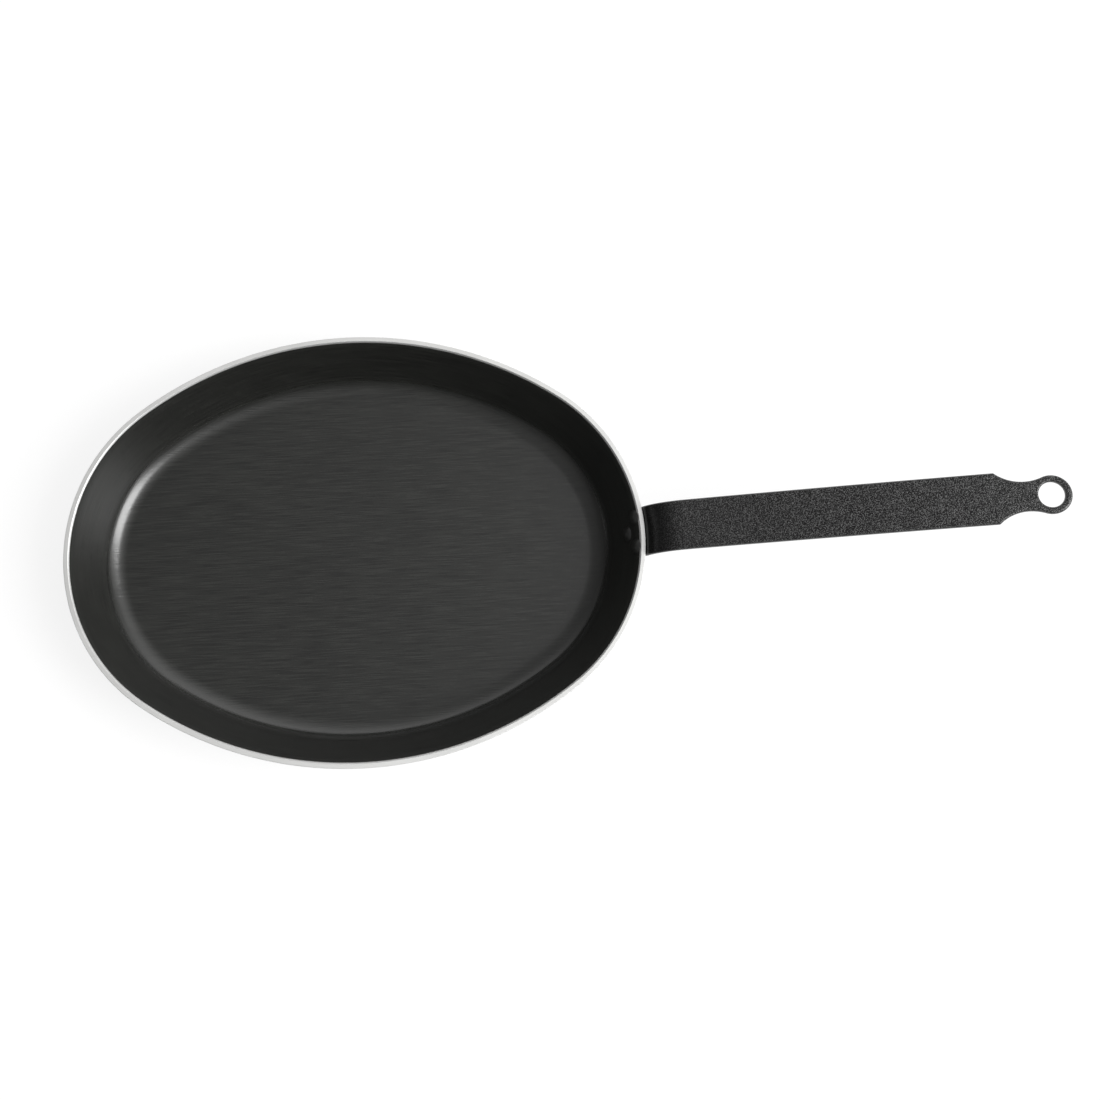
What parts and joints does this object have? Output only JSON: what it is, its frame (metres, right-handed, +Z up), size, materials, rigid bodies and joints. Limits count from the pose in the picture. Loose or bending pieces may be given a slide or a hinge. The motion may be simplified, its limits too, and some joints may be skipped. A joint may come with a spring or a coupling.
{
  "type": "oval fish pan",
  "caption": "Shallow oval frying pan with sloping walls, a non-stick inside, a bare metal rim and a long flat strip handle that rises from one end and closes in a hanging eye.",
  "frame": {"origin": "middle of the base's underside, on the surface that the pan stands on", "axes": "+X along the pan's long axis towards the handle, +Y across the pan, +Z up"},
  "size_m": [0.5997, 0.2688, 0.1088],
  "materials": {
    "pan_aluminium": "bare satin aluminium on the rim and the outside",
    "nonstick_coating": "dark grey satin non-stick film with fine lengthwise brush lines, on the inside of the pan",
    "handle_enamel": "dark grey hammered epoxy enamel on steel strip",
    "rivet_metal": "aluminium rivets, non-stick coated on the heads inside the pan and bare on the tails outside"
  },
  "bodies": {
    "root": {"pan_body": "pan_aluminium", "handle": "handle_enamel", "rivet_upper_left": "rivet_metal", "rivet_upper_right": "rivet_metal", "rivet_lower": "rivet_metal"}
  },
  "joints": []
}
